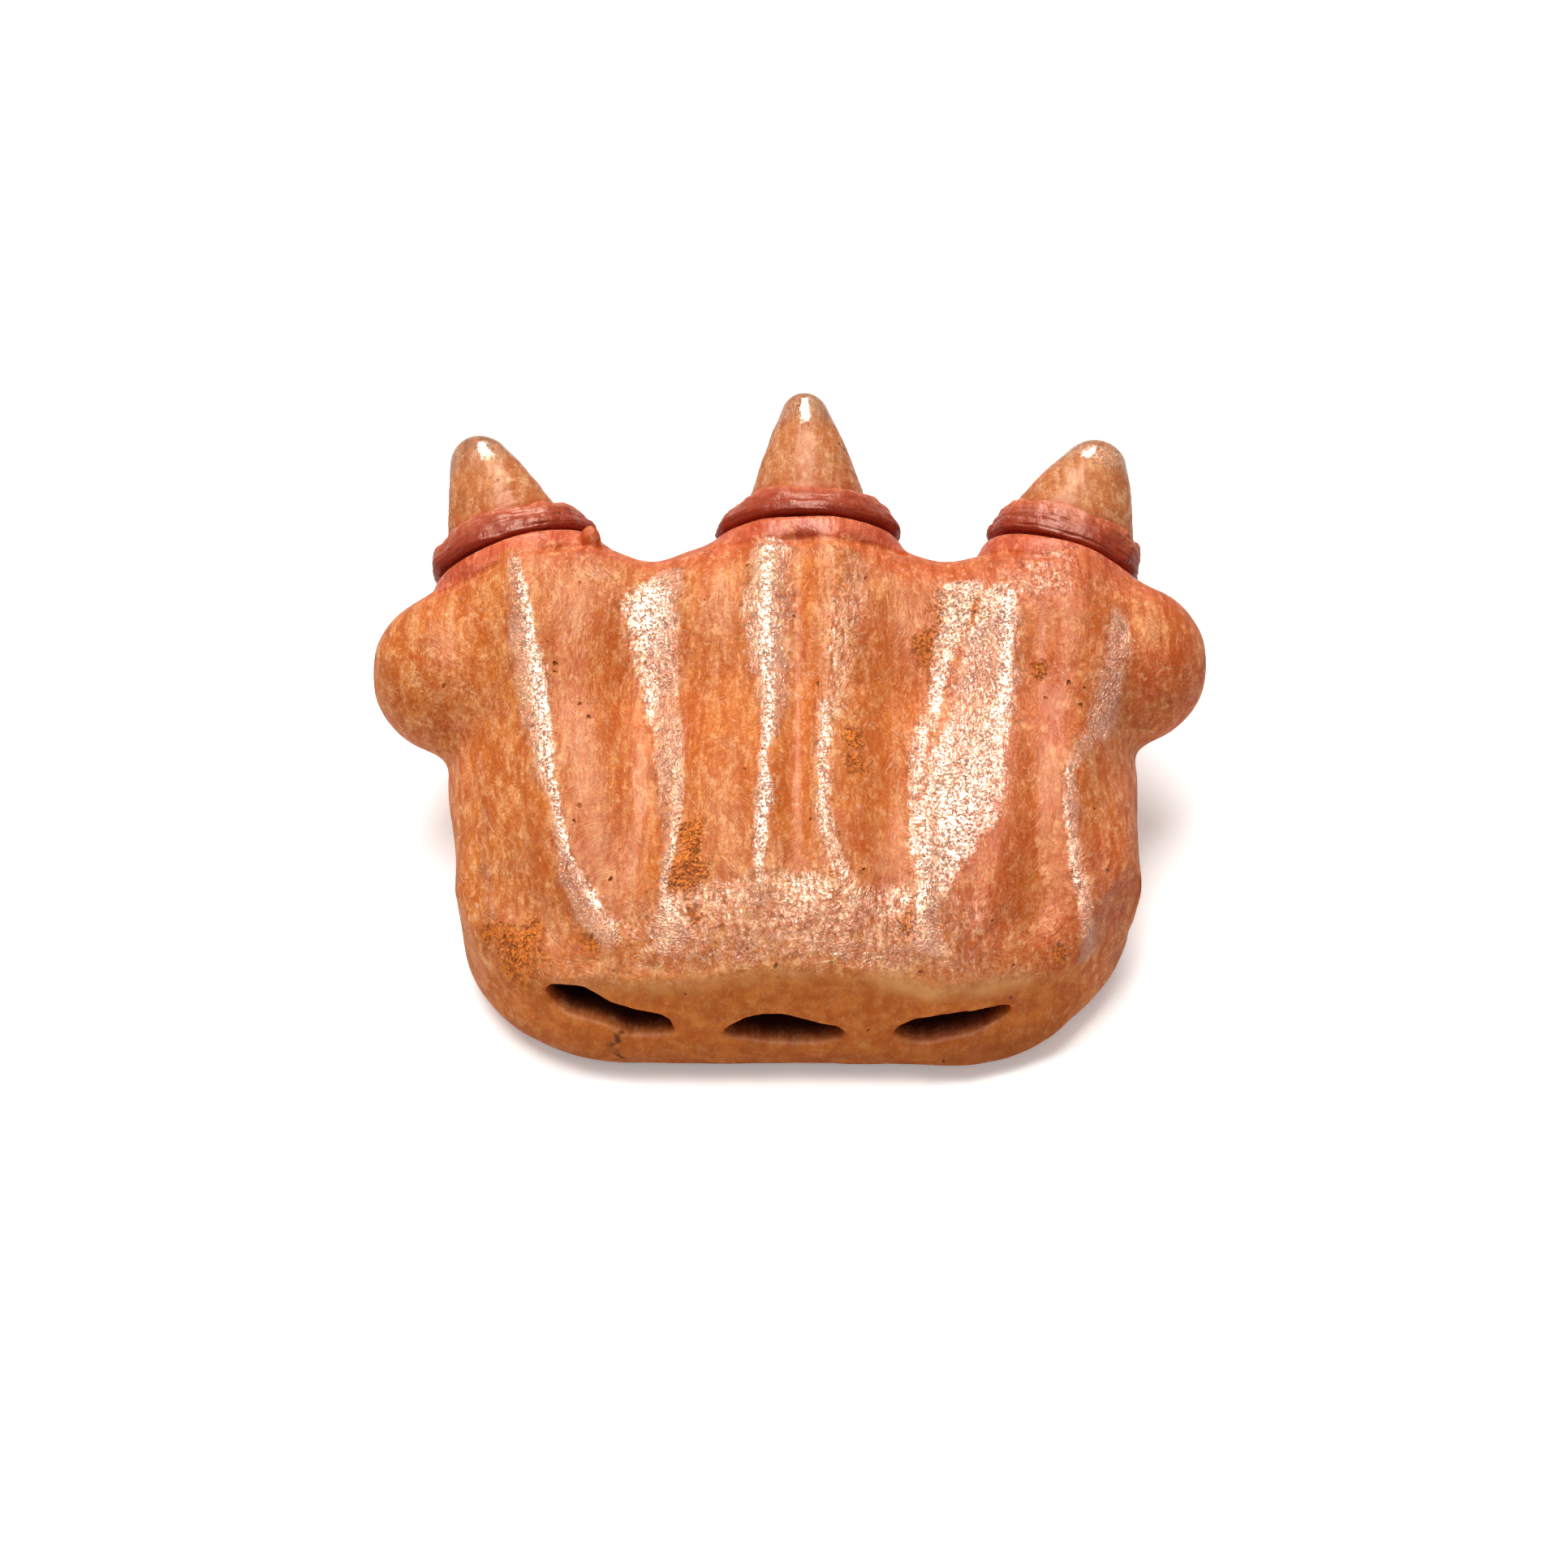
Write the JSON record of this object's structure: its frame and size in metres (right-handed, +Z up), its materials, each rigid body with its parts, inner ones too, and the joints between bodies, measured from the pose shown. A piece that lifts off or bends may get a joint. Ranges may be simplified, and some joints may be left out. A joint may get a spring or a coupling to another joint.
{
  "type": "clay flute",
  "caption": "Hand-formed clay duct flute shaped like a clawed paw, with breath slots in the beak, hollow toes and sounding windows underneath.",
  "frame": {"origin": "the middle of the flat that the flute stands on, under the palm", "axes": "+Z up, +X to the right of someone who looks at the mouth face, +Y from the mouth face towards the claws"},
  "size_m": [0.1005, 0.0785, 0.0427],
  "materials": {
    "burnished_clay": "hand-burnished low-fired clay, orange-brown to pinkish red, satin with bright streaks on the crests",
    "raw_clay": "unburnished fired clay, matt and grainy",
    "red_slip": "iron-red slip, smoothed, satin",
    "claw_clay": "tan clay, polished to a gloss near the tip"
  },
  "bodies": {
    "root": {"palm_shell": "burnished_clay", "dorsal_shell": "burnished_clay", "mouth_block": "burnished_clay", "lower_lip": "burnished_clay", "side_pad_left": "burnished_clay", "side_pad_right": "burnished_clay", "chamber_wall_left": "raw_clay", "chamber_wall_right": "raw_clay", "labium_left": "raw_clay", "labium_centre": "raw_clay", "labium_right": "raw_clay", "toe_plug_left": "red_slip", "cuticle_ring_left": "red_slip", "claw_left": "claw_clay", "toe_plug_centre": "red_slip", "cuticle_ring_centre": "red_slip", "claw_centre": "claw_clay", "toe_plug_right": "red_slip", "cuticle_ring_right": "red_slip", "claw_right": "claw_clay"}
  },
  "joints": []
}
